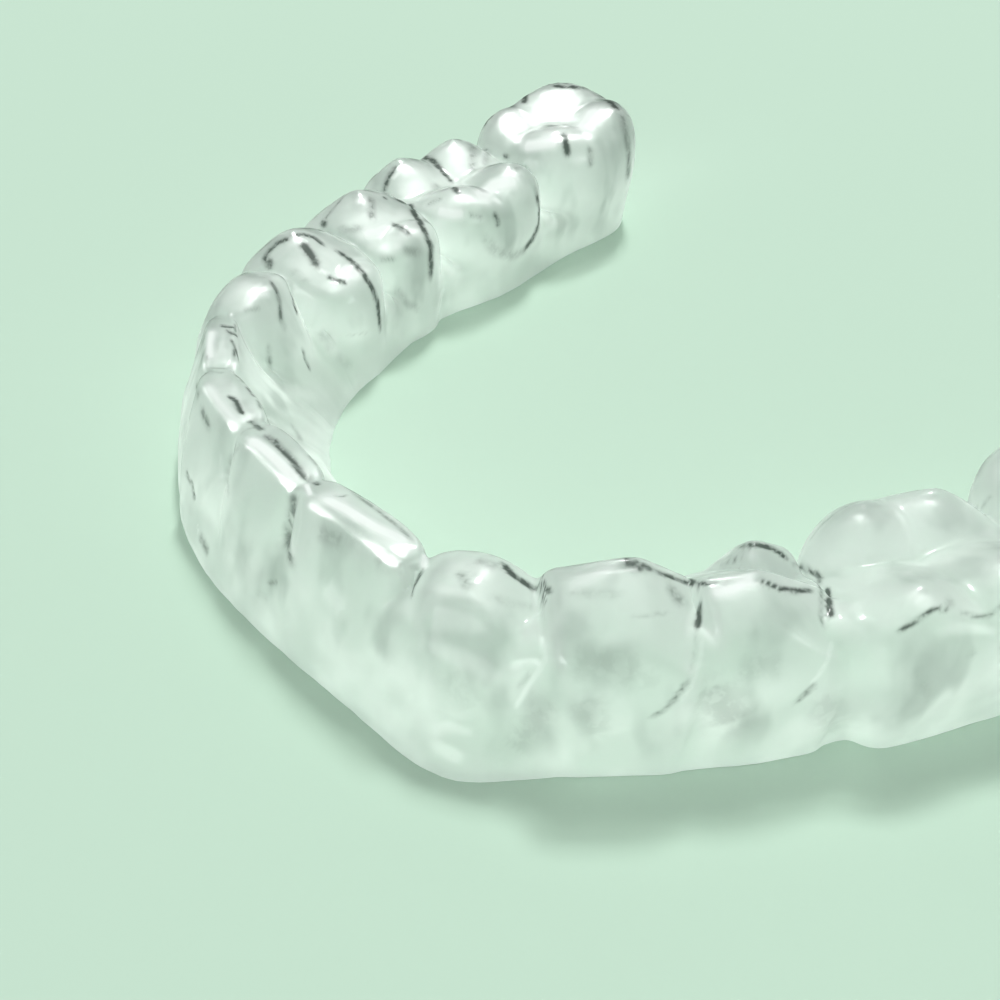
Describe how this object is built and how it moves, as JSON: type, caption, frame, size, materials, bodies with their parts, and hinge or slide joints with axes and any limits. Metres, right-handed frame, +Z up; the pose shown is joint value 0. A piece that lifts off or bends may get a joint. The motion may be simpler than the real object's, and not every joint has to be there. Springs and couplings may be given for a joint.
{
  "type": "clear dental aligner",
  "caption": "Clear thermoformed dental aligner: a thin arch-shaped tray with a hollow for each tooth crown, lying on its trimmed gum edge.",
  "frame": {"origin": "centre of the outline, on the plane of the trimmed edge that the aligner rests on", "axes": "+X across the arch, from one arm to the other; +Y from the front teeth towards the molars; +Z up, from the trimmed edge to the biting surfaces"},
  "size_m": [0.0644, 0.0496, 0.0101],
  "materials": {
    "clear_plastic": "glossy, clear, faintly milky"
  },
  "bodies": {
    "root": {"aligner_shell": "clear_plastic"}
  },
  "joints": []
}
